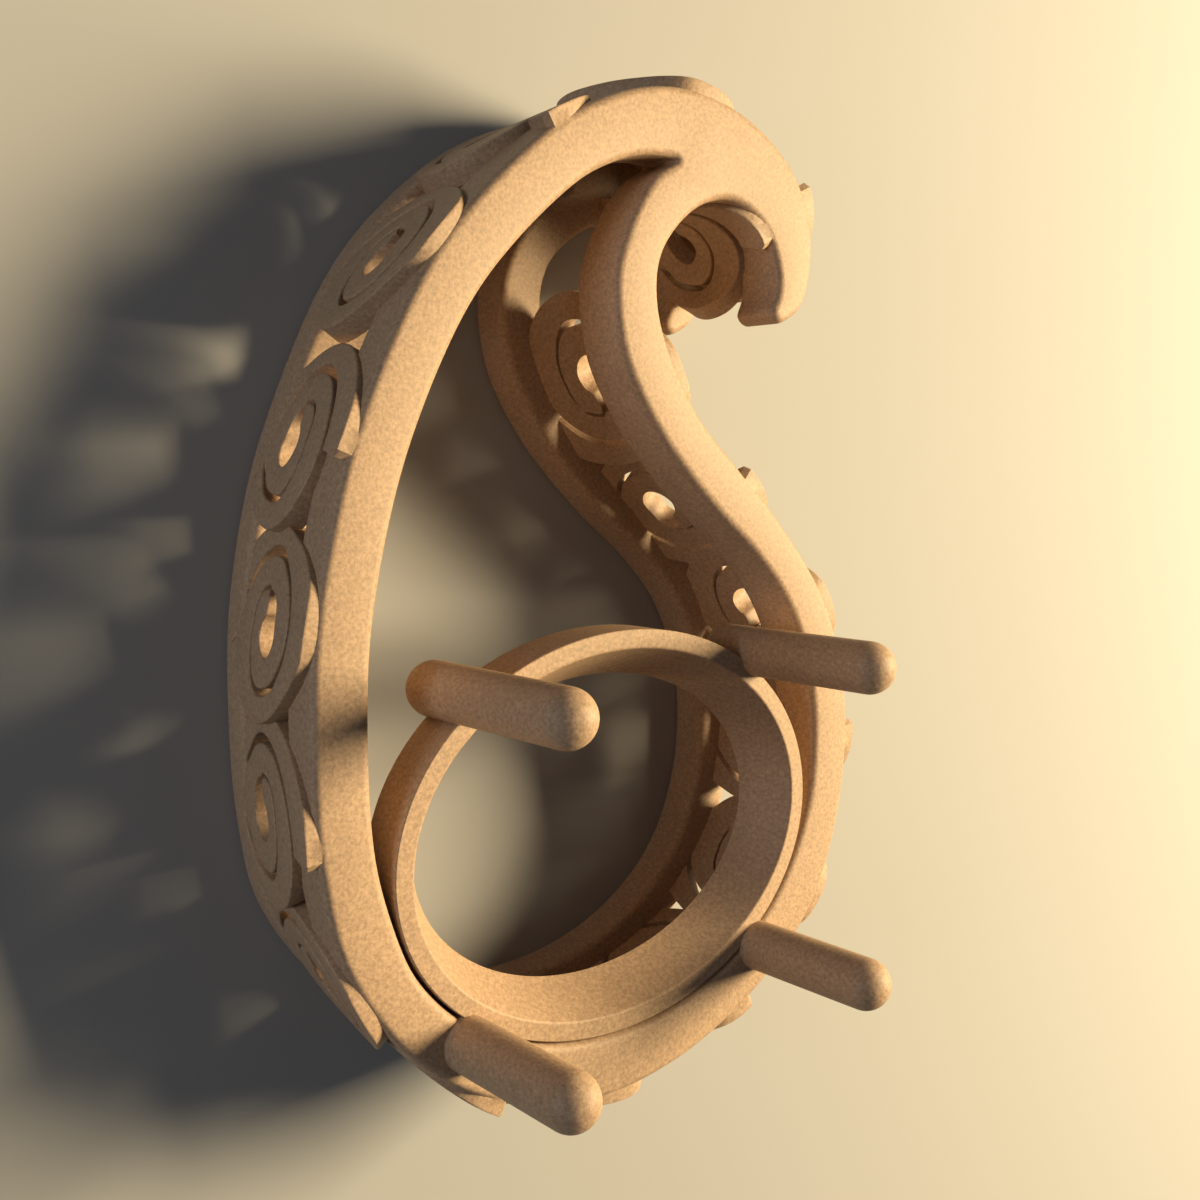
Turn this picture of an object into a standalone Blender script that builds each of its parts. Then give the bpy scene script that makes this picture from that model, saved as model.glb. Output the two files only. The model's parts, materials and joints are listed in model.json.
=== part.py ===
"""Paisley mount for one oval stone, cast in one piece.

Two rails of the same paisley outline, one behind the other, are joined round their outer rim by a
running chain of flat scrolls.  An oval collet with a tapered bore sits in the lower lobe and four
round claws stand up beside it.  The mount lies on its back rail: +Z is the way the stone faces,
+Y runs up to the curled head.  Lengths below are millimetres unless a comment says otherwise.
"""
import bpy
import bmesh
from bisect import bisect_right
from math import cos, hypot, pi, radians, sin, tanh
from mathutils import Vector

for old in list(bpy.data.objects):
    bpy.data.objects.remove(old, do_unlink=True)

MM = 0.001                      # one millimetre in metres

# The stone and the collet that carries it
STONE_LONG, STONE_SHORT = 8.0, 6.0      # girdle of the oval stone
SEAT_END, SEAT_SIDE = 0.10, 0.13        # land of the collet outside the girdle, at the ends and the sides
COLLET_A = STONE_LONG / 2 + SEAT_END    # outer half length of the oval
COLLET_B = STONE_SHORT / 2 + SEAT_SIDE  # outer half width
COLLET_RIM = 0.29                       # flat front edge of the collet
COLLET_TAPER = 0.48                     # how far the bore closes in towards the back
COLLET_H = 0.80

# Claws
CLAW_D = 0.82
CLAW_STANDOFF = 0.277                   # from the edge of the collet out to the middle of a claw
CLAW_ANGLE = 47.3                       # degrees round the oval from its long axis
CLAW_RISE = 2.71                        # above the front face
CLAW_DROP = 1.09                        # below the front face

# Rails and gallery
DEPTH = 3.28                    # front face to back face
FRONT_T = 0.90                  # front rail, front to back
BACK_T = 0.70                   # back rail, front to back
DRAFT = 0.33                    # how far the outline draws in from front to back
EDGE = 0.13                     # broken edges of the rails

# Scrolls: flat plates, each lying along the wall and lapping over the top of the next
PLATE_T = 0.36                  # thickness of a scroll
PROUD = 0.15                    # how far it stands out of the front rail; it sinks to nothing at the back
LAP = 0.05                      # slope that lifts the lower edge of each scroll over the next
SETBACK = 0.33                  # a plate touches the wall this far above its eye
STIFF = 0.30                    # 0 bends a plate fully round the wall, 1 leaves it flat
FIRST_EYE = 1.96                # first eye along the outline from the tip of the curl
HEAD_PITCH, PITCH = 2.90, 2.665 # eye to eye round the head, and after it
HEAD_SCROLLS, SCROLLS = 4, 16
HOOK_EYE = 47.20                # one more scroll, bent fully round the wall inside the curl
EYE_FRONT, EYE_BACK = 1.37, 1.80        # height of the eyes: free end to the front, free end to the back
BURY = 0.26                             # scrolls stop this far above the back face, inside the rail
TOP_GAP, TOP_SQUEEZE = 0.01, 0.15       # and this far below the front face, drawn in over this height

SEAM = 0.05                             # hairline between the collet and the rail under it

# Outline in units of U, the half length of the collet: x, y, and the share of the draft taken there.
# Below the middle of the stone it follows the collet's width as well.
U = COLLET_A
LOBE = COLLET_B / (0.763 * U)
RIM = [  # from the tip of the curl over the head, down the left, round the lobe, up the strand
    (0.910, 1.948, 0), (0.970, 1.990, 0), (1.014, 2.075, 0), (1.035, 2.190, 0), (1.030, 2.310, 0),
    (0.985, 2.440, 0), (0.890, 2.560, 0), (0.740, 2.660, 0), (0.560, 2.728, 0), (0.370, 2.755, 0),
    (0.160, 2.735, 0), (-0.070, 2.660, 0), (-0.312, 2.524, 0), (-0.605, 2.276, .1), (-0.821, 2.028, .4),
    (-1.020, 1.678, .7), (-1.160, 1.322, .8), (-1.263, 0.883, 1), (-1.288, 0.450, 1.1), (-1.268, 0.092, 1.1),
    (-1.188, -0.240, 1), (-0.988, -0.560, 1), (-0.740, -0.785, 1), (-0.430, -0.945, 1), (-0.090, -1.010, 1),
    (0.240, -0.985, 1), (0.530, -0.900, 1), (0.790, -0.768, 1), (1.010, -0.590, 1), (1.150, -0.390, 1),
    (1.240, -0.150, 1), (1.285, 0.110, 1), (1.280, 0.380, 1), (1.210, 0.640, 1), (1.080, 0.880, 1),
    (0.840, 1.150, 1), (0.610, 1.358, 1), (0.420, 1.530, 1), (0.290, 1.705, 1), (0.210, 1.880, 1),
    (0.188, 2.020, .9), (0.212, 2.140, .7), (0.290, 2.245, .4), (0.400, 2.330, .1), (0.530, 2.375, -.1),
    (0.640, 2.360, -.2), (0.740, 2.300, -.3), (0.805, 2.215, -.3), (0.836, 2.110, -.2), (0.830, 2.035, -.1),
    (0.802, 1.965, 0), (0.846, 1.926, 0)]
WINDOW = [  # the teardrop opening, from beside the collet up the left to the crotch under the head
    (-0.985, -0.180, .8), (-1.060, 0.100, .8), (-1.078, 0.450, .8), (-1.055, 0.855, .8), (-0.960, 1.262, .8),
    (-0.830, 1.590, .8), (-0.655, 1.900, .8), (-0.455, 2.130, .8), (-0.195, 2.350, .7), (0.000, 2.452, .3),
    (0.150, 2.490, 0), (0.285, 2.488, 0), (0.175, 2.415, .1), (0.085, 2.300, .4), (0.020, 2.170, .7),
    (-0.018, 2.040, .8), (-0.010, 1.880, .8), (0.040, 1.715, .8), (0.170, 1.512, .8), (0.330, 1.335, .8),
    (0.510, 1.172, .8), (0.710, 1.010, .8), (0.890, 0.815, .8), (1.005, 0.600, .8), (1.062, 0.380, .8),
    (1.072, 0.150, .8), (1.036, -0.080, .8)]
SEAM_FROM, SEAM_TO, SEAM_POINTS = -24, -152, 9      # degrees round the oval where the rail hugs the collet

# One scroll, in units of U about its eye.  The angle turns from the free end side over the top, which is
# the side towards the tip of the curl; the spiral cut runs inwards from under the free end to the eye.
OUTLINE = [(-14, .455), (-11, .485), (-7, .494), (7, .453), (20, .425), (32, .402), (54, .370), (90, .330),
           (115, .315), (140, .337), (156, .360), (180, .370), (197, .356), (210, .336), (228, .318),
           (250, .325), (265, .338), (278, .352), (293, .357), (302, .358)]
CUT = [  # angle, middle of the cut, width of the cut
    (-58, .373, .030), (-39, .359, .030), (-25, .342, .028), (-10, .318, .027), (11, .285, .027),
    (33, .264, .028), (54, .254, .030), (73, .246, .034), (88, .240, .035), (106, .225, .030),
    (124, .205, .024), (155, .199, .020), (184, .205, .020), (207, .211, .022), (228, .214, .024),
    (241, .224, .024), (268, .236, .024), (284, .244, .024), (298, .230, .020), (315, .200, .015),
    (347, .156, .012), (374, .145, .012), (400, .139, .012), (421, .126, .013), (440, .114, .015)]
EYE_EDGE = [(440, .107), (490, .085), (540, .068), (585, .098), (630, .124), (677, .095), (707, .067),
            (747, .042), (775, .050), (795, .082)]
SCROLL_STEPS = 28


def spline(points, steps, closed):
    """Catmull-Rom through rows of numbers, `steps` pieces between neighbours."""
    n = len(points)
    out = []
    for i in range(n if closed else n - 1):
        if closed:
            a, b, c, d = (points[(i + k - 1) % n] for k in range(4))
        else:
            a, b, c, d = (points[min(max(i + k - 1, 0), n - 1)] for k in range(4))
        for s in range(steps):
            t = s / steps
            out.append(tuple(0.5 * (2 * q + (r - p) * t + (2 * p - 5 * q + 4 * r - w) * t * t
                                    + (3 * q - p - 3 * r + w) * t ** 3)
                             for p, q, r, w in zip(a, b, c, d)))
    if not closed:
        out.append(tuple(points[-1]))
    return out


def left_normals(loop):
    """Unit normals to the left of a closed loop of x, y, ..."""
    n = len(loop)
    out = []
    for i in range(n):
        dx = loop[(i + 1) % n][0] - loop[i - 1][0]
        dy = loop[(i + 1) % n][1] - loop[i - 1][1]
        length = hypot(dx, dy)
        out.append((-dy / length, dx / length))
    return out


def drafted(loop, share):
    """The loop in millimetres at a share of the way from the front face (0) to the back face (1)."""
    return [(x * U + nx * t * DRAFT * share, y * U + ny * t * DRAFT * share)
            for (x, y, t), (nx, ny) in zip(loop, left_normals(loop))]


def as_mesh(obj):
    """A curve made a closed mesh, its caps welded on."""
    bpy.context.view_layer.update()
    shape = bpy.data.meshes.new_from_object(obj.evaluated_get(bpy.context.evaluated_depsgraph_get()))
    made = bpy.data.objects.new(obj.name, shape)
    made.matrix_world = obj.matrix_world
    bpy.context.scene.collection.objects.link(made)
    name = obj.name
    bpy.data.objects.remove(obj, do_unlink=True)
    made.name = name
    bm = bmesh.new()
    bm.from_mesh(shape)
    bmesh.ops.remove_doubles(bm, verts=bm.verts, dist=0.000001)
    bmesh.ops.recalc_face_normals(bm, faces=bm.faces)
    bm.to_mesh(shape)
    bm.free()
    return made


def solid(name, verts, faces):
    mesh = bpy.data.meshes.new(name)
    mesh.from_pydata([Vector(v) * MM for v in verts], [], faces)
    obj = bpy.data.objects.new(name, mesh)
    bpy.context.scene.collection.objects.link(obj)
    bm = bmesh.new()
    bm.from_mesh(mesh)
    bmesh.ops.recalc_face_normals(bm, faces=bm.faces)
    bm.to_mesh(mesh)
    bm.free()
    return obj


def rail(name, low, high):
    """A flat rail between two heights: the outline and its window, extruded, with broken edges."""
    share = 1 - (low + high) / 2 / DEPTH
    curve = bpy.data.curves.new(name, "CURVE")
    curve.dimensions = "2D"
    curve.fill_mode = "BOTH"
    for loop in (RIM_FINE, WINDOW_FINE):
        points = drafted(loop, share)
        run = curve.splines.new("POLY")
        run.points.add(len(points) - 1)
        for point, (x, y) in zip(run.points, points):
            point.co = (x * MM, y * MM, 0, 1)
        run.use_cyclic_u = True
    curve.extrude = ((high - low) / 2 - EDGE) * MM
    curve.bevel_depth = EDGE * MM
    curve.bevel_resolution = 0
    curve.offset = -EDGE * MM
    obj = bpy.data.objects.new(name, curve)
    obj.location.z = (low + high) / 2 * MM
    bpy.context.scene.collection.objects.link(obj)
    return as_mesh(obj)


def along(table, angle):
    """Straight-line reading of a table of angle, value, ..."""
    i = min(max(bisect_right([row[0] for row in table], angle) - 1, 0), len(table) - 2)
    a, b = table[i], table[i + 1]
    t = min(max((angle - a[0]) / (b[0] - a[0]), 0), 1)
    return [p + (q - p) * t for p, q in zip(a[1:], b[1:])]


def band(angle):
    """Outer and inner edge of the scroll's band at an angle."""
    if angle <= OUTLINE[-1][0]:
        outer = along(OUTLINE, angle)[0]
    else:
        middle, width = along(CUT, angle - 360)
        outer = middle - width / 2
    if angle <= EYE_EDGE[0][0]:
        middle, width = along(CUT, angle)
        inner = middle + width / 2
    else:
        inner = along(EYE_EDGE, angle)[0]
    return outer, inner


def squeezed(value, knee, limit):
    """Values past the knee are drawn in so that they never reach the limit."""
    span = limit - knee
    return value if (value - knee) / span < 0 else knee + span * tanh((value - knee) / span)


class Wall:
    """The drafted outer wall: a distance along the outline and a height give a point on it."""

    def __init__(self):
        fine = spline(RIM, 8, True)
        self.normals = left_normals(fine)
        self.points = fine
        self.length = [0.0]
        for a, b in zip(fine, fine[1:]):
            self.length.append(self.length[-1] + hypot(b[0] - a[0], b[1] - a[1]) * U)

    def at(self, distance, height):
        """A point on the wall, and the unit normal pointing inwards."""
        i = min(max(bisect_right(self.length, distance) - 1, 0), len(self.points) - 2)
        t = (distance - self.length[i]) / (self.length[i + 1] - self.length[i])
        x, y, take = (p + (q - p) * t for p, q in zip(self.points[i], self.points[i + 1]))
        nx, ny = (p + (q - p) * t for p, q in zip(self.normals[i], self.normals[i + 1]))
        push = take * DRAFT * (1 - height / DEPTH)
        return x * U + nx * push, y * U + ny * push, nx, ny


def scroll(name, distance, to_front, stiff=STIFF):
    """A flat spiral band laid against the wall, its free end towards the front or the back rail."""
    eye = EYE_FRONT if to_front else EYE_BACK
    hand = 1 if to_front else -1
    first, last = OUTLINE[0][0], EYE_EDGE[-1][0]
    verts, faces = [], []
    for k in range(SCROLL_STEPS + 1):
        angle = first + (last - first) * k / SCROLL_STEPS
        for r in band(angle):
            past = -sin(radians(angle)) * r * U
            height = eye + hand * cos(radians(angle)) * r * U
            height = squeezed(squeezed(height, BACK_T, BURY), DEPTH - TOP_GAP - TOP_SQUEEZE, DEPTH - TOP_GAP)
            x, y, nx, ny = WALL.at(distance - SETBACK, height)
            bent = WALL.at(distance + past, height)
            lift = PROUD * (height - BACK_T) / (DEPTH - BACK_T) + LAP * past
            for depth in (-lift, PLATE_T - lift):
                flat = (x + ny * (past + SETBACK) + nx * depth, y - nx * (past + SETBACK) + ny * depth)
                round_wall = (bent[0] + bent[2] * depth, bent[1] + bent[3] * depth)
                verts.append(tuple(stiff * p + (1 - stiff) * q for p, q in zip(flat, round_wall)) + (height,))
    for k in range(SCROLL_STEPS):
        a = 4 * k
        for p, q in ((0, 1), (1, 3), (3, 2), (2, 0)):
            faces.append((a + p, a + q, a + 4 + q, a + 4 + p))
    faces.append((0, 1, 3, 2))
    end = 4 * SCROLL_STEPS
    faces.append((end, end + 2, end + 3, end + 1))
    return solid(name, verts, faces)


def collet(name, steps=32):
    top, low = DEPTH, DEPTH - COLLET_H
    section = [(0.0, top), (-COLLET_RIM, top), (-COLLET_RIM - COLLET_TAPER, low), (0.0, low)]
    verts, faces = [], []
    for k in range(steps):
        a = 2 * pi * k / steps
        for off, z in section:
            verts.append(((COLLET_A + off) * cos(a), (COLLET_B + off) * sin(a), z))
    for k in range(steps):
        a, b = 4 * k, 4 * ((k + 1) % steps)
        for i in range(4):
            j = (i + 1) % 4
            faces.append((a + i, b + i, b + j, a + j))
    return solid(name, verts, faces)


def claw(name, x, y, around=12, domed=3):
    """A round wire with domed ends: half its outline turned by a Screw modifier."""
    r = CLAW_D / 2
    top, foot = DEPTH + CLAW_RISE, DEPTH - CLAW_DROP
    outline = [(r * sin(pi / 2 * k / domed), top - r + r * cos(pi / 2 * k / domed)) for k in range(domed + 1)]
    outline += [(r * cos(pi / 2 * k / domed), foot + r - r * sin(pi / 2 * k / domed)) for k in range(domed + 1)]
    mesh = bpy.data.meshes.new(name)
    mesh.from_pydata([(u * MM, 0, z * MM) for u, z in outline], [(k, k + 1) for k in range(len(outline) - 1)], [])
    obj = bpy.data.objects.new(name, mesh)
    obj.location = (x * MM, y * MM, 0)
    bpy.context.scene.collection.objects.link(obj)
    turn = obj.modifiers.new("turned", "SCREW")
    turn.axis = "Z"
    turn.steps = turn.render_steps = around
    turn.use_merge_vertices = True
    turn.merge_threshold = 0.000002
    return obj


RIM = [(x, y * (LOBE if y < 0 else 1), take) for x, y, take in RIM]
hugging = [radians(SEAM_FROM + (SEAM_TO - SEAM_FROM) * k / (SEAM_POINTS - 1)) for k in range(SEAM_POINTS)]
WINDOW += [((COLLET_A + SEAM) / U * cos(a), (COLLET_B + SEAM) / U * sin(a), .6) for a in hugging]
RIM_FINE = spline(RIM, 2, True)
WINDOW_FINE = spline(WINDOW[::-1], 2, True)
WALL = Wall()

mount = rail("paisley_mount", DEPTH - FRONT_T, DEPTH)
others = [rail("back_rail", 0.0, BACK_T), collet("collet")]
for sx in (-1, 1):
    for sy in (-1, 1):
        others.append(claw("claw", sx * (COLLET_A + CLAW_STANDOFF) * cos(radians(CLAW_ANGLE)),
                           sy * (COLLET_B + CLAW_STANDOFF) * sin(radians(CLAW_ANGLE))))
for k in range(SCROLLS):
    eye = FIRST_EYE + HEAD_PITCH * min(k, HEAD_SCROLLS) + PITCH * max(k - HEAD_SCROLLS, 0)
    others.append(scroll("scroll", eye, k % 2 == 0))
others.append(scroll("scroll", HOOK_EYE, True, stiff=0.0))

cutters = bpy.data.collections.new("joined")
bpy.context.scene.collection.children.link(cutters)
for piece in others:
    bpy.context.scene.collection.objects.unlink(piece)
    cutters.objects.link(piece)
    piece.hide_render = True
    piece.display_type = "WIRE"
join = mount.modifiers.new("cast in one", "BOOLEAN")
join.operation = "UNION"
join.solver = "EXACT"
join.operand_type = "COLLECTION"
join.collection = cutters
join.use_self = True

# The origin goes to the middle of the underside, on the back face
bpy.context.view_layer.update()
shape = mount.evaluated_get(bpy.context.evaluated_depsgraph_get()).to_mesh()
corners = [mount.matrix_world @ v.co for v in shape.vertices]
middle = [(min(c[i] for c in corners) + max(c[i] for c in corners)) / 2 for i in (0, 1)]
for piece in [mount] + others:
    piece.location.x -= middle[0]
    piece.location.y -= middle[1]

metal = bpy.data.materials.new("warm_tan_cast")
metal.use_nodes = True
shader = metal.node_tree.nodes["Principled BSDF"]
shader.inputs["Base Color"].default_value = (0.45, 0.30, 0.19, 1)
shader.inputs["Roughness"].default_value = 0.6
mount.data.materials.append(metal)
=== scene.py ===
# %% [markdown]
# # A paisley mount for one oval stone
#
# The real thing is a small jewellery casting, about 16 mm long: two flat rails of the same paisley
# outline, one behind the other, joined round the rim by a running chain of scrolls.  An oval collet
# sits in the lower lobe with four round claws beside it.  It is cast in one piece, so this scene
# makes the parts one by one and then unites them into one mesh.
#
# The first cell loads the solid model as a fixed frame.  The fine surface made here stands for it.

import json
from bisect import bisect_right
from math import cos, hypot, pi, radians, sin, tanh

import bmesh
import bpy
from mathutils import Matrix, Vector


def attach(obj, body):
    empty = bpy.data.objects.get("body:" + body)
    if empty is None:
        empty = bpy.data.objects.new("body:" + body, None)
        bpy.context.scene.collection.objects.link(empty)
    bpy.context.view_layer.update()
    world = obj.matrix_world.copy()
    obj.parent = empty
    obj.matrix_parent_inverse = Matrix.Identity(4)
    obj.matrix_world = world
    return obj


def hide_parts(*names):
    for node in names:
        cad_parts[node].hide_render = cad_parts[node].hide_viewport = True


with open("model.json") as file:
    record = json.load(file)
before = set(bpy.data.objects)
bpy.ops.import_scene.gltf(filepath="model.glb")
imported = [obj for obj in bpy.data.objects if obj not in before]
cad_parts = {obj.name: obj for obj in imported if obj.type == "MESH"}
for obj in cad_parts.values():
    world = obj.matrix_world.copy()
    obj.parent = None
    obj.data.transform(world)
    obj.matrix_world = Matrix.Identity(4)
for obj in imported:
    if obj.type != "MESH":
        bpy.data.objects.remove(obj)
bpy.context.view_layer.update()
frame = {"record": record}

# %% [markdown]
# ## Sizes
#
# A maker starts from the stone.  An 8 x 6 mm oval is a standard cut, and the collet is that oval
# with a narrow land round it.  Everything else is measured from the middle of the stone.  The record
# says where the seat is, so the middle of the oval is found from it and nothing is fitted by eye.

# %% Sizes of the mount, in millimetres
MM = 0.001
STONE_LONG, STONE_SHORT = 8.0, 6.0
SEAT_END, SEAT_SIDE = 0.10, 0.13        # land of the collet outside the girdle, at the ends and the sides
COLLET_A = STONE_LONG / 2 + SEAT_END    # outer half length of the oval collet
COLLET_B = STONE_SHORT / 2 + SEAT_SIDE  # outer half width
COLLET_RIM = 0.29                       # flat front edge
COLLET_TAPER = 0.48                     # the bore closes in by this towards the back
COLLET_H = 0.80
DEPTH = 3.28                            # front face to back face
FRONT_T, BACK_T = 0.90, 0.70            # thickness of the two rails
DRAFT = 0.33                            # the outline draws in by this from front to back
EDGE = 0.13                             # rounding of the rails' edges

seat = next(m for m in frame["record"]["mounts"] if m["name"] == "stone_seat")
MIDDLE = Vector((seat["pos_m"][0] - (COLLET_A - COLLET_RIM / 2) * MM, seat["pos_m"][1], 0))
print("middle of the stone in mm:", [round(v / MM, 4) for v in MIDDLE])

# %% [markdown]
# ## The camera
#
# The mount lies on its back rail, and the camera looks down at its front from the left, from about
# five times the collet's half length away.  A close camera on a small thing needs a short clip
# distance, because Blender's own default of 100 mm would cut the whole object away.

# %% Camera
CAMERA_FROM_STONE = (-13.481, 5.785, 15.387)    # mm from the middle of the stone in the front face
CAMERA_AXES = ((0.7630, 0.0745, -0.6421), (-0.0076, 0.9943, 0.1064), (0.6464, -0.0763, 0.7592))
SENSOR, LENS = 36, 40.92                # mm
NEAREST, FARTHEST = 0.0005, 10          # clip distances, metres

lens = bpy.data.cameras.new("camera")
lens.sensor_fit = "HORIZONTAL"
lens.sensor_width, lens.lens = SENSOR, LENS
lens.clip_start, lens.clip_end = NEAREST, FARTHEST
camera = bpy.data.objects.new("camera", lens)
bpy.context.scene.collection.objects.link(camera)
stone_front = MIDDLE + Vector((0, 0, DEPTH * MM))
camera.matrix_world = (Matrix.Translation(stone_front + Vector(CAMERA_FROM_STONE) * MM)
                       @ Matrix(CAMERA_AXES).to_4x4())
bpy.context.scene.camera = camera
print("camera", [round(v / MM, 2) for v in camera.location], "mm")

# %% [markdown]
# ## Smooth lines from few points
#
# The outline is a free drawn line, so it is kept as a few points that a spline runs through.  A
# Catmull-Rom spline goes through each of its points, which makes the numbers easy to read: they are
# places on the metal.  The same function also carries a third number along, the share of the
# casting's draft that is taken there.

# %% A spline and its normals
def spline(points, steps, closed):
    """Catmull-Rom through rows of numbers, `steps` pieces between neighbours."""
    n = len(points)
    out = []
    for i in range(n if closed else n - 1):
        if closed:
            a, b, c, d = (points[(i + k - 1) % n] for k in range(4))
        else:
            a, b, c, d = (points[min(max(i + k - 1, 0), n - 1)] for k in range(4))
        for s in range(steps):
            t = s / steps
            out.append(tuple(0.5 * (2 * q + (r - p) * t + (2 * p - 5 * q + 4 * r - w) * t * t
                                    + (3 * q - p - 3 * r + w) * t ** 3)
                             for p, q, r, w in zip(a, b, c, d)))
    if not closed:
        out.append(tuple(points[-1]))
    return out


def left_normals(loop):
    """Unit normals to the left of a closed loop of x, y, ..."""
    n = len(loop)
    out = []
    for i in range(n):
        dx = loop[(i + 1) % n][0] - loop[i - 1][0]
        dy = loop[(i + 1) % n][1] - loop[i - 1][1]
        length = hypot(dx, dy)
        out.append((-dy / length, dx / length))
    return out


print("a square made round:", len(spline([(0, 0), (1, 0), (1, 1), (0, 1)], 8, True)), "points")

# %% The paisley outline and its teardrop window
# Rows of x, y and the share of the draft, in half lengths of the collet, round the middle of the stone.
U = COLLET_A
LOBE = COLLET_B / (0.763 * U)       # below the middle the outline keeps to the collet's width
RIM = [  # from the tip of the curl over the head, down the left, round the lobe, up the strand
    (0.910, 1.948, 0), (0.970, 1.990, 0), (1.014, 2.075, 0), (1.035, 2.190, 0), (1.030, 2.310, 0),
    (0.985, 2.440, 0), (0.890, 2.560, 0), (0.740, 2.660, 0), (0.560, 2.728, 0), (0.370, 2.755, 0),
    (0.160, 2.735, 0), (-0.070, 2.660, 0), (-0.312, 2.524, 0), (-0.605, 2.276, .1), (-0.821, 2.028, .4),
    (-1.020, 1.678, .7), (-1.160, 1.322, .8), (-1.263, 0.883, 1), (-1.288, 0.450, 1.1), (-1.268, 0.092, 1.1),
    (-1.188, -0.240, 1), (-0.988, -0.560, 1), (-0.740, -0.785, 1), (-0.430, -0.945, 1), (-0.090, -1.010, 1),
    (0.240, -0.985, 1), (0.530, -0.900, 1), (0.790, -0.768, 1), (1.010, -0.590, 1), (1.150, -0.390, 1),
    (1.240, -0.150, 1), (1.285, 0.110, 1), (1.280, 0.380, 1), (1.210, 0.640, 1), (1.080, 0.880, 1),
    (0.840, 1.150, 1), (0.610, 1.358, 1), (0.420, 1.530, 1), (0.290, 1.705, 1), (0.210, 1.880, 1),
    (0.188, 2.020, .9), (0.212, 2.140, .7), (0.290, 2.245, .4), (0.400, 2.330, .1), (0.530, 2.375, -.1),
    (0.640, 2.360, -.2), (0.740, 2.300, -.3), (0.805, 2.215, -.3), (0.836, 2.110, -.2), (0.830, 2.035, -.1),
    (0.802, 1.965, 0), (0.846, 1.926, 0)]
WINDOW = [  # the opening, from beside the collet up the left to the crotch under the head
    (-0.985, -0.180, .8), (-1.060, 0.100, .8), (-1.078, 0.450, .8), (-1.055, 0.855, .8), (-0.960, 1.262, .8),
    (-0.830, 1.590, .8), (-0.655, 1.900, .8), (-0.455, 2.130, .8), (-0.195, 2.350, .7), (0.000, 2.452, .3),
    (0.150, 2.490, 0), (0.285, 2.488, 0), (0.175, 2.415, .1), (0.085, 2.300, .4), (0.020, 2.170, .7),
    (-0.018, 2.040, .8), (-0.010, 1.880, .8), (0.040, 1.715, .8), (0.170, 1.512, .8), (0.330, 1.335, .8),
    (0.510, 1.172, .8), (0.710, 1.010, .8), (0.890, 0.815, .8), (1.005, 0.600, .8), (1.062, 0.380, .8),
    (1.072, 0.150, .8), (1.036, -0.080, .8)]
SEAM = 0.05                             # hairline between the collet and the rail under it, mm
SEAM_FROM, SEAM_TO, SEAM_POINTS = -24, -152, 9      # degrees round the oval where the rail hugs the collet

RIM = [(x, y * (LOBE if y < 0 else 1), take) for x, y, take in RIM]
hugging = [radians(SEAM_FROM + (SEAM_TO - SEAM_FROM) * k / (SEAM_POINTS - 1)) for k in range(SEAM_POINTS)]
WINDOW += [((COLLET_A + SEAM) / U * cos(a), (COLLET_B + SEAM) / U * sin(a), .6) for a in hugging]
FINE = 8
rim_line = spline(RIM, FINE, True)
window_line = spline(WINDOW[::-1], FINE, True)
print("outline", len(rim_line), "points, window", len(window_line), "points")

# %% [markdown]
# ## The rails
#
# Each rail is a flat plate with a hole, with softly rounded edges and walls that lean in a little
# towards the back, as a pattern does so that it leaves its mould.  A 2D curve with a bevel gives the
# rounding but not the lean.  So each wall is lofted from rings: every ring is the outline at its
# height, moved in by the rounding, and the two flat faces are filled between the last rings.

# %% Lofted rails
ROUNDING_STEPS = 5


def new_object(name, bm):
    """A mesh object at the middle of the stone, from geometry in millimetres."""
    bmesh.ops.recalc_face_normals(bm, faces=bm.faces)
    bmesh.ops.scale(bm, verts=bm.verts, vec=(MM, MM, MM))
    bmesh.ops.translate(bm, verts=bm.verts, vec=MIDDLE)
    mesh = bpy.data.meshes.new(name)
    bm.to_mesh(mesh)
    bm.free()
    obj = bpy.data.objects.new(name, mesh)
    bpy.context.scene.collection.objects.link(obj)
    return obj


def rounded_wall(low, high, radius):
    """Rings of (inset, height) up a wall whose two edges are rounded."""
    turns = [pi / 2 * k / ROUNDING_STEPS for k in range(ROUNDING_STEPS + 1)]
    bottom = [(radius * (1 - sin(a)), low + radius * (1 - cos(a))) for a in turns]
    return bottom + [(inset, low + high - z) for inset, z in reversed(bottom)]


def ring_of(line, inset, height):
    """One ring of a wall: the drafted line, moved to its left by the inset."""
    share = 1 - height / DEPTH
    return [(x * U + nx * (take * DRAFT * share + inset), y * U + ny * (take * DRAFT * share + inset), height)
            for (x, y, take), (nx, ny) in zip(line, left_normals(line))]


def rail(name, low, high):
    bm = bmesh.new()
    edges = {low: [], high: []}
    for line, side in ((rim_line, 1), (window_line, -1)):
        rings = []
        for inset, height in rounded_wall(low, high, EDGE):
            rings.append([bm.verts.new(p) for p in ring_of(line, side * inset, height)])
        for lower, upper in zip(rings, rings[1:]):
            for i in range(len(lower)):
                j = (i + 1) % len(lower)
                bm.faces.new((lower[i], lower[j], upper[j], upper[i]))
        for ring, height in ((rings[0], low), (rings[-1], high)):
            edges[height] += [bm.edges.get((ring[i - 1], ring[i])) for i in range(len(ring))]
    for flat in edges.values():
        bmesh.ops.triangle_fill(bm, edges=flat, use_beauty=True)
    return new_object(name, bm)


casting = rail("paisley_casting", DEPTH - FRONT_T, DEPTH)
others = [rail("back_rail", 0, BACK_T)]
print("front rail", len(casting.data.vertices), "vertices, back rail", len(others[0].data.vertices))

# %% [markdown]
# ## The collet
#
# A collet is the ring that the stone is set on.  Its bore is tapered, so the stone sits on the
# slope.  Because it is an oval and not a circle, a turned profile won't do: the profile is carried
# round an ellipse instead, and its corners are broken so that they catch the light.

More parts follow.
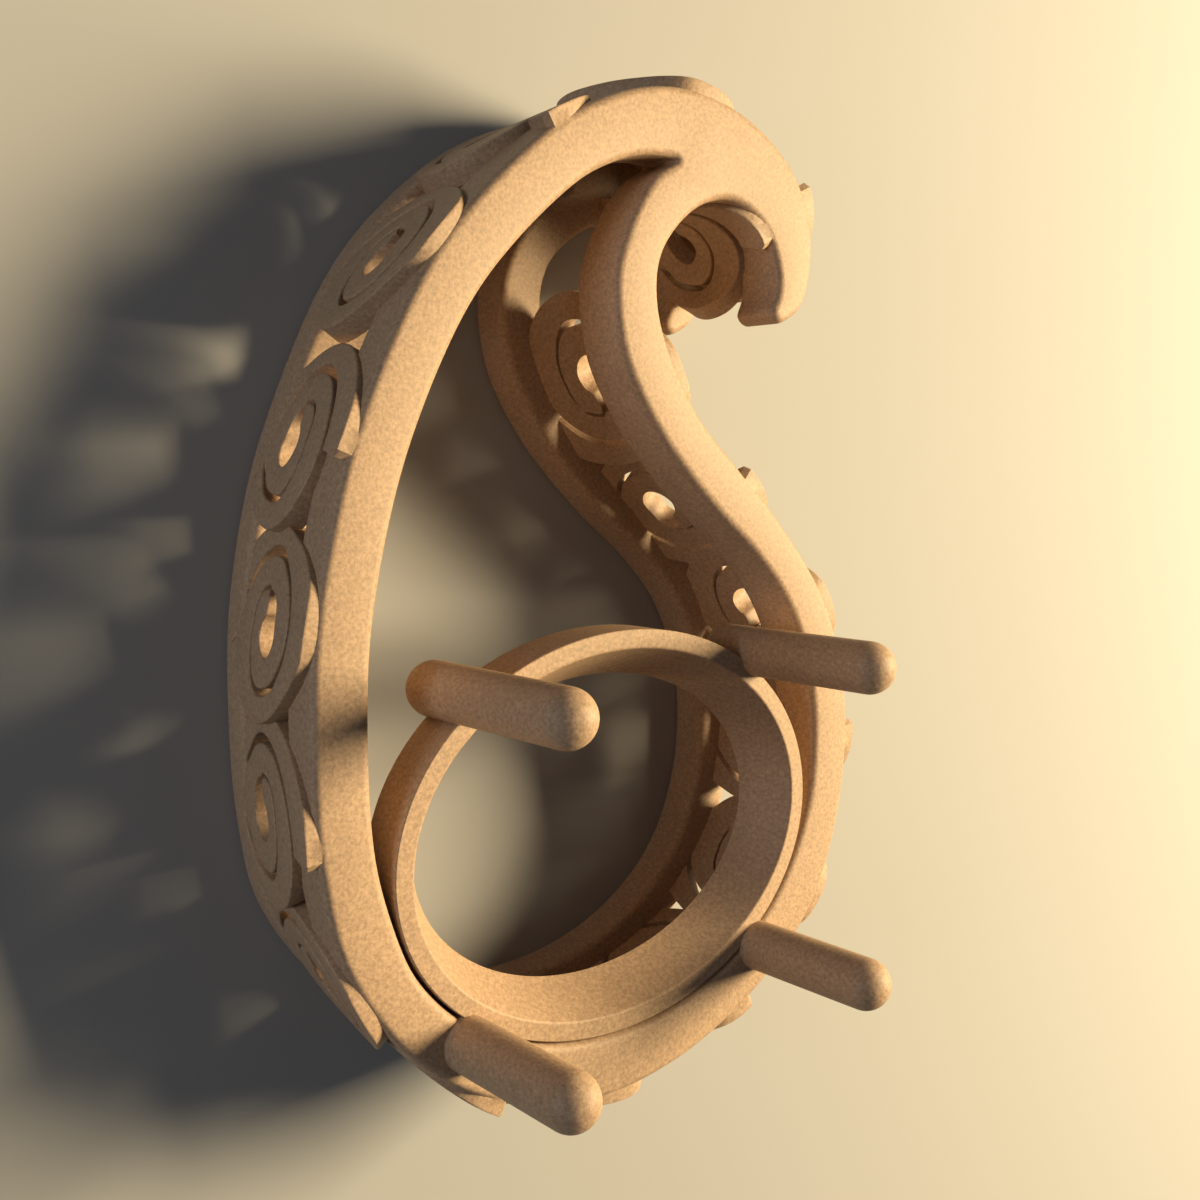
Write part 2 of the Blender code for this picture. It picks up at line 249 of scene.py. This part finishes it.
# %% Collet
BROKEN = 0.035          # broken corners of the collet, mm
BROKEN_INNER = 0.35     # each corner is cut twice, the second time at this share from it
COLLET_STEPS = 168


def collet():
    top, low = DEPTH, DEPTH - COLLET_H
    corners = [(0, low), (0, top), (-COLLET_RIM, top), (-COLLET_RIM - COLLET_TAPER, low)]
    profile = []
    for k, corner in enumerate(corners):
        here = Vector(corner)
        before = (Vector(corners[k - 1]) - here).normalized() * BROKEN
        after = (Vector(corners[(k + 1) % 4]) - here).normalized() * BROKEN
        profile += [here + before, here + before * BROKEN_INNER, here + after * BROKEN_INNER, here + after]
    bm = bmesh.new()
    rings = []
    for k in range(COLLET_STEPS):
        a = 2 * pi * k / COLLET_STEPS
        points = [((COLLET_A + off) * cos(a), (COLLET_B + off) * sin(a), z) for off, z in profile]
        rings.append([bm.verts.new(point) for point in points])
    for k in range(COLLET_STEPS):
        here, after = rings[k - 1], rings[k]
        for i in range(len(profile)):
            bm.faces.new((here[i - 1], here[i], after[i], after[i - 1]))
    return new_object("collet", bm)


others.append(collet())
print("collet", len(others[-1].data.vertices), "vertices")

# %% [markdown]
# ## The claws
#
# Four lengths of round wire stand beside the collet, ready to be bent over the stone.  Their ends
# are domed, with two faint rings round each dome.  That is a turned shape: half of its outline,
# revolved.

# %% Claws
CLAW_R = 0.41
CLAW_STANDOFF = 0.277                   # from the edge of the collet out to the middle of a claw
CLAW_ANGLE = radians(47.3)              # round the oval from its long axis
CLAW_RISE, CLAW_DROP = 2.71, 1.09       # above and below the front face
CLAW_SIDES, DOME_STEPS = 48, 16
WELD = 0.002                            # points nearer than this become one, mm
RINGS = ((0.33, 0.006), (0.62, 0.005))  # faint rings on a dome: share of its radius, depth in mm
RING_WIDTH = 0.07


def dome(k):
    """Radius and height above its equator of a point on a domed end, nose first."""
    a = pi / 2 * k / DOME_STEPS
    dip = sum(depth * max(0, 1 - abs(sin(a) - at) / RING_WIDTH) for at, depth in RINGS)
    return CLAW_R * sin(a), (CLAW_R - dip) * cos(a)


def claw(x, y):
    top, foot = DEPTH + CLAW_RISE - CLAW_R, DEPTH - CLAW_DROP + CLAW_R
    ends = [dome(k) for k in range(DOME_STEPS + 1)]
    outline = [(r, top + h) for r, h in ends] + [(r, foot - h) for r, h in reversed(ends)]
    bm = bmesh.new()
    line = [bm.verts.new((r, 0, z)) for r, z in outline]
    edges = [bm.edges.new(pair) for pair in zip(line, line[1:])]
    bmesh.ops.spin(bm, geom=line + edges, axis=(0, 0, 1), cent=(0, 0, 0), steps=CLAW_SIDES, angle=2 * pi)
    bmesh.ops.remove_doubles(bm, verts=bm.verts, dist=WELD)
    bmesh.ops.translate(bm, verts=bm.verts, vec=(x, y, 0))
    return new_object("claw", bm)


for side in (-1, 1):
    for end in (-1, 1):
        others.append(claw(side * (COLLET_A + CLAW_STANDOFF) * cos(CLAW_ANGLE),
                           end * (COLLET_B + CLAW_STANDOFF) * sin(CLAW_ANGLE)))
print("4 claws of", len(others[-1].data.vertices), "vertices each")

# %% [markdown]
# ## One scroll
#
# A scroll is a flat plate with a spiral cut in it.  Its edge and its cut are written as radii round
# its eye, at an angle that runs on past a full turn as the cut winds inwards.  Between the two lines
# lies one long band of metal, and a band is easy to loft: a small section with rounded corners,
# carried along it.

# %% The drawing of a scroll
# Radii in half lengths of the collet.  The angle turns from the free end over the top, which is the side
# towards the tip of the curl.
OUTLINE = [(-14, .455), (-11, .485), (-7, .494), (7, .453), (20, .425), (32, .402), (54, .370), (90, .330),
           (115, .315), (140, .337), (156, .360), (180, .370), (197, .356), (210, .336), (228, .318),
           (250, .325), (265, .338), (278, .352), (293, .357), (302, .358)]
CUT = [  # angle, middle of the cut, width of the cut
    (-58, .373, .030), (-39, .359, .030), (-25, .342, .028), (-10, .318, .027), (11, .285, .027),
    (33, .264, .028), (54, .254, .030), (73, .246, .034), (88, .240, .035), (106, .225, .030),
    (124, .205, .024), (155, .199, .020), (184, .205, .020), (207, .211, .022), (228, .214, .024),
    (241, .224, .024), (268, .236, .024), (284, .244, .024), (298, .230, .020), (315, .200, .015),
    (347, .156, .012), (374, .145, .012), (400, .139, .012), (421, .126, .013), (440, .114, .015)]
EYE_EDGE = [(440, .107), (490, .085), (540, .068), (585, .098), (630, .124), (677, .095), (707, .067),
            (747, .042), (775, .050), (795, .082)]
outline_fine, cut_fine, eye_fine = (spline(table, 8, False) for table in (OUTLINE, CUT, EYE_EDGE))


def along(table, angle):
    """Straight-line reading of a table of angle, value, ..."""
    i = min(max(bisect_right([row[0] for row in table], angle) - 1, 0), len(table) - 2)
    a, b = table[i], table[i + 1]
    t = min(max((angle - a[0]) / (b[0] - a[0]), 0), 1)
    return [p + (q - p) * t for p, q in zip(a[1:], b[1:])]


def band(angle):
    """Outer and inner edge of the scroll's band at an angle."""
    if angle <= OUTLINE[-1][0]:
        outer = along(outline_fine, angle)[0]
    else:
        middle, width = along(cut_fine, angle - 360)
        outer = middle - width / 2
    if angle <= EYE_EDGE[0][0]:
        middle, width = along(cut_fine, angle)
        inner = middle + width / 2
    else:
        inner = along(eye_fine, angle)[0]
    return outer, inner


print("band from", OUTLINE[0][0], "to", EYE_EDGE[-1][0], "degrees, edges at 0:", [round(r, 3) for r in band(0)])

# %% [markdown]
# ## The wall that carries the scrolls
#
# The scrolls lie along the outer wall of the rails.  This class unrolls that wall: a distance along
# the outline and a height give a point on it and the direction inwards.  A plate lies between flat
# and fully bent round the wall, because a stiff plate doesn't follow a curve all the way.  Only the
# scroll in the hollow of the curl is bent fully.

# %% The wall, unrolled
PLATE_T = 0.36                  # thickness of a scroll
PROUD = 0.15                    # how far it stands out of the front rail; it sinks to nothing at the back
LAP = 0.05                      # slope that lifts the lower edge of each scroll over the next
SETBACK = 0.33                  # a plate touches the wall this far above its eye
STIFF = 0.30                    # 0 bends a plate fully round the wall, 1 leaves it flat
EYE_FRONT, EYE_BACK = 1.37, 1.80        # height of the eyes: free end to the front, free end to the back
BURY, TOP_GAP = 0.26, 0.01      # scrolls stop this far from the back face and the front face
TOP_SQUEEZE = 0.15              # drawn in over this height under the front face


class Wall:
    def __init__(self, line):
        self.points = line
        self.normals = left_normals(line)
        self.length = [0.0]
        for a, b in zip(line, line[1:]):
            self.length.append(self.length[-1] + hypot(b[0] - a[0], b[1] - a[1]) * U)

    def at(self, distance, height):
        """A point on the wall, and the unit normal pointing inwards."""
        i = min(max(bisect_right(self.length, distance) - 1, 0), len(self.points) - 2)
        t = (distance - self.length[i]) / (self.length[i + 1] - self.length[i])
        x, y, take = (p + (q - p) * t for p, q in zip(self.points[i], self.points[i + 1]))
        nx, ny = (p + (q - p) * t for p, q in zip(self.normals[i], self.normals[i + 1]))
        push = take * DRAFT * (1 - height / DEPTH)
        return x * U + nx * push, y * U + ny * push, nx, ny


def squeezed(value, knee, limit):
    """Values past the knee are drawn in so that they never reach the limit."""
    span = limit - knee
    return value if (value - knee) / span < 0 else knee + span * tanh((value - knee) / span)


def on_wall(plate, along_wall, up, depth):
    """A point of a plate: along the wall from its eye, up from its eye, and inwards from its face."""
    distance, eye, stiff = plate
    height = squeezed(squeezed(eye + up, BACK_T, BURY), DEPTH - TOP_GAP - TOP_SQUEEZE, DEPTH - TOP_GAP)
    x, y, nx, ny = wall.at(distance - SETBACK, height)
    bent = wall.at(distance + along_wall, height)
    inwards = depth - PROUD * (height - BACK_T) / (DEPTH - BACK_T) - LAP * along_wall
    reach = along_wall + SETBACK
    flat = (x + ny * reach + nx * inwards, y - nx * reach + ny * inwards)
    follows = (bent[0] + bent[2] * inwards, bent[1] + bent[3] * inwards)
    return tuple(stiff * p + (1 - stiff) * q for p, q in zip(flat, follows)) + (height,)


wall = Wall(rim_line)
print("the outline is", round(wall.length[-1], 2), "mm long")

# %% Scrolls all round the rim
FIRST_EYE = 1.96                # first eye along the outline from the tip of the curl
HEAD_PITCH, PITCH = 2.90, 2.665 # eye to eye round the head, and after it
HEAD_SCROLLS, SCROLLS = 4, 16
HOOK_EYE = 47.20                # one more scroll, bent fully round the wall inside the curl
SCROLL_STEPS = 230
SOFT = 0.035                    # rounding of a scroll's outer edges
CORNER_STEPS = 3
SOFT_SHARE = 0.4                # most of a narrow band's width that one rounding may take


def section(outer, inner):
    """Rows of (radius, depth) round the band's section, in millimetres, its face at depth 0."""
    soft = min(SOFT, SOFT_SHARE * (outer - inner))
    turns = [pi / 2 * k / CORNER_STEPS for k in range(CORNER_STEPS + 1)]
    face = [(outer - soft * (1 - sin(a)), soft * (1 - cos(a))) for a in turns]
    back = [(inner + soft * (1 - sin(a)), soft * (1 - cos(a))) for a in turns]
    return face + [(outer, PLATE_T), (inner, PLATE_T)] + back[::-1]


def scroll(distance, to_front, stiff=STIFF):
    """A flat spiral band laid against the wall, its free end towards the front or the back rail."""
    eye, hand = (EYE_FRONT, 1) if to_front else (EYE_BACK, -1)
    plate = (distance, eye, stiff)
    first, last = OUTLINE[0][0], EYE_EDGE[-1][0]
    bm = bmesh.new()
    rings = []
    for k in range(SCROLL_STEPS + 1):
        angle = first + (last - first) * k / SCROLL_STEPS
        outer, inner = (r * U for r in band(angle))
        turn = radians(angle)
        rings.append([bm.verts.new(on_wall(plate, -sin(turn) * r, hand * cos(turn) * r, depth))
                      for r, depth in section(outer, inner)])
    for here, after in zip(rings, rings[1:]):
        for i in range(len(here)):
            bm.faces.new((here[i - 1], here[i], after[i], after[i - 1]))
    for cap in (rings[0], rings[-1]):
        bm.faces.new(cap)
    return new_object("scroll", bm)


for k in range(SCROLLS):
    eye = FIRST_EYE + HEAD_PITCH * min(k, HEAD_SCROLLS) + PITCH * max(k - HEAD_SCROLLS, 0)
    others.append(scroll(eye, k % 2 == 0))
others.append(scroll(HOOK_EYE, True, stiff=0.0))
print(SCROLLS + 1, "scrolls of", len(others[-1].data.vertices), "vertices each")

# %% [markdown]
# ## Cast in one
#
# The pieces overlap where they meet.  A Boolean union makes one closed skin of them, as the metal
# is, and leaves nothing hidden inside.

# %% Union
pool = bpy.data.collections.new("cast in one")
for piece in others:
    bpy.context.scene.collection.objects.unlink(piece)
    pool.objects.link(piece)
join = casting.modifiers.new("cast in one", "BOOLEAN")
join.operation = "UNION"
join.solver = "EXACT"
join.operand_type = "COLLECTION"
join.collection = pool
join.use_self = False
bpy.context.view_layer.update()
cast_mesh = bpy.data.meshes.new_from_object(casting.evaluated_get(bpy.context.evaluated_depsgraph_get()))
casting.modifiers.clear()
casting.data = cast_mesh
for piece in others:
    bpy.data.objects.remove(piece)
bpy.data.collections.remove(pool)

SHARP = 32              # degrees: a crisper edge than this stays sharp
LEVELLING = 80          # how much the large faces set the shading of their corners
cast_mesh.shade_smooth()
cast_mesh.set_sharp_from_angle(angle=radians(SHARP))
level = casting.modifiers.new("level faces", "WEIGHTED_NORMAL")
level.keep_sharp = True
level.weight = LEVELLING
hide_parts("paisley_mount")
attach(casting, "root")
print("one casting of", len(cast_mesh.vertices), "vertices and", len(cast_mesh.polygons), "faces")

# %% [markdown]
# ## The metal
#
# The casting is matt and warm tan, finely grained as it comes from blasting, before any polish.  The
# grain is a bump of about a hundredth of a millimetre with a slight speckle of light and dark.  A
# small class wraps a socket, so that the shader's sums can be written as plain Python.

# %% Sums on sockets
class Value:
    """A socket that can be added and multiplied."""

    def __init__(self, nodes, socket):
        self.nodes, self.socket = nodes, socket

    def _math(self, operation, a, b):
        return self.nodes.add("ShaderNodeMath", {"operation": operation}, {0: a, 1: b})

    def __add__(self, other):
        return self._math("ADD", self, other)

    __radd__ = __add__

    def __mul__(self, other):
        return self._math("MULTIPLY", self, other)

    __rmul__ = __mul__


class Nodes:
    """The nodes of one material."""

    def __init__(self, name):
        self.material = bpy.data.materials.new(name)
        self.material.use_nodes = True
        self.tree = self.material.node_tree
        self.shader = self.tree.nodes["Principled BSDF"]

    def add(self, kind, settings=None, sockets=None, output=0):
        """A node of that kind: its settings first, then the values or links of its sockets."""
        node = self.tree.nodes.new(kind)
        for key, value in (settings or {}).items():
            if key == "stops":
                ramp = node.color_ramp
                while len(ramp.elements) < len(value):
                    ramp.elements.new(1)
                for element, (position, color) in zip(ramp.elements, value):
                    element.position, element.color = position, color
            else:
                setattr(node, key, value)
        for key, value in (sockets or {}).items():
            self.put(node.inputs[key], value)
        return Value(self, node.outputs[output])

    def put(self, socket, value):
        if isinstance(value, Value):
            self.tree.links.new(value.socket, socket)
        else:
            socket.default_value = value


print("helpers for materials are ready")

# %% Warm tan casting
TAN = (0.47, 0.315, 0.20, 1)            # the clean metal
TAN_DULL = (0.445, 0.30, 0.19, 1)       # slightly duller patches, left by the flux
GRAIN = 17000                           # grains per metre: about 0.06 mm each
PATCHES = 420                           # patches per metre: about 2.4 mm each
GRAIN_DARK, GRAIN_LIGHT = (0.70, 0.70, 0.70, 1), (1.18, 1.18, 1.18, 1)
ROUGH, ROUGH_GRAIN = 0.50, 0.16         # roughness, and what the grain adds
GRAIN_DEPTH, GRAIN_RELIEF = 0.00001, 0.35       # metres, and the share of it that shows
SHEEN = 0.35                            # a blasted skin reflects less than a polished one

metal = Nodes("warm_tan_casting")
place = metal.add("ShaderNodeTexCoord", output=3)
grain = metal.add("ShaderNodeTexNoise", {"noise_dimensions": "3D"},
                  {"Vector": place, "Scale": GRAIN, "Detail": 2.0, "Roughness": 0.75})
cloud = metal.add("ShaderNodeTexNoise", {"noise_dimensions": "3D"},
                  {"Vector": place, "Scale": PATCHES, "Detail": 2.0})
patches = metal.add("ShaderNodeValToRGB", {"stops": [(0.38, TAN_DULL), (0.66, TAN)]}, {0: cloud})
speckle = metal.add("ShaderNodeValToRGB", {"stops": [(0.3, GRAIN_DARK), (0.7, GRAIN_LIGHT)]}, {0: grain})
colour = metal.add("ShaderNodeMix", {"data_type": "RGBA", "blend_type": "MULTIPLY"},
                   {0: 1.0, 6: patches, 7: speckle}, output=2)
metal.put(metal.shader.inputs["Base Color"], colour)
metal.put(metal.shader.inputs["Roughness"], ROUGH + ROUGH_GRAIN * grain)
bump = metal.add("ShaderNodeBump",
                 sockets={"Strength": GRAIN_RELIEF, "Distance": GRAIN_DEPTH, "Height": grain})
metal.put(metal.shader.inputs["Normal"], bump)
metal.put(metal.shader.inputs["Specular IOR Level"], SHEEN)
cast_mesh.materials.clear()
cast_mesh.materials.append(metal.material)
print("material", metal.material.name, "with", len(metal.tree.nodes), "nodes")

# %% [markdown]
# ## Floor and light
#
# A pale floor lies under the back rail.  The main light is a warm softbox on the right, and the
# claws throw soft shadows to their left.  A weak cool softbox on the left shows the wall that the
# main light never reaches.

# %% Floor
FLOOR_HALF = 0.4                        # metres
FLOOR_GAP = 0.00002                     # under the back rail, so that the two faces don't fight
bm = bmesh.new()
bmesh.ops.create_grid(bm, x_segments=1, y_segments=1, size=FLOOR_HALF)
floor_mesh = bpy.data.meshes.new("floor")
bm.to_mesh(floor_mesh)
bm.free()
floor = bpy.data.objects.new("floor", floor_mesh)
floor.location.z = -FLOOR_GAP
floor.visible_diffuse = False           # the floor throws no light back, so the gallery stays dark
bpy.context.scene.collection.objects.link(floor)
pale = Nodes("pale_floor")
pale.put(pale.shader.inputs["Base Color"], (0.36, 0.36, 0.36, 1))
pale.put(pale.shader.inputs["Roughness"], 0.85)
floor_mesh.materials.append(pale.material)
print("floor", 2 * FLOOR_HALF, "m wide")

# %% Light
def softbox(name, place, aim, size, brightness, colour):
    """A square lamp: its place and aim in mm from the middle of the stone, its brightness where it aims."""
    lamp = bpy.data.lights.new(name, "AREA")
    lamp.shape, lamp.size, lamp.color = "SQUARE", size * MM, colour
    obj = bpy.data.objects.new(name, lamp)
    obj.location = MIDDLE + Vector(place) * MM
    way = (Vector(place) - Vector(aim)) * MM
    lamp.energy = brightness * pi * way.length_squared
    obj.rotation_euler = way.to_track_quat("Z", "Y").to_euler()
    bpy.context.scene.collection.objects.link(obj)


softbox("key", (80, 14, 64), (3, 0, 3), 40, 9.6, (1.0, 0.80, 0.48))
softbox("fill", (-60, 8, 15), (-5, 3, 2), 18, 0.80, (0.95, 0.97, 1.0))
sky = bpy.data.worlds.new("studio")
sky.use_nodes = True
sky.node_tree.nodes["Background"].inputs["Color"].default_value = (0.88, 0.92, 1.0, 1)
sky.node_tree.nodes["Background"].inputs["Strength"].default_value = 0.07
bpy.context.scene.world = sky
bpy.context.scene.view_settings.view_transform = "Standard"
print("2 softboxes and a sky")
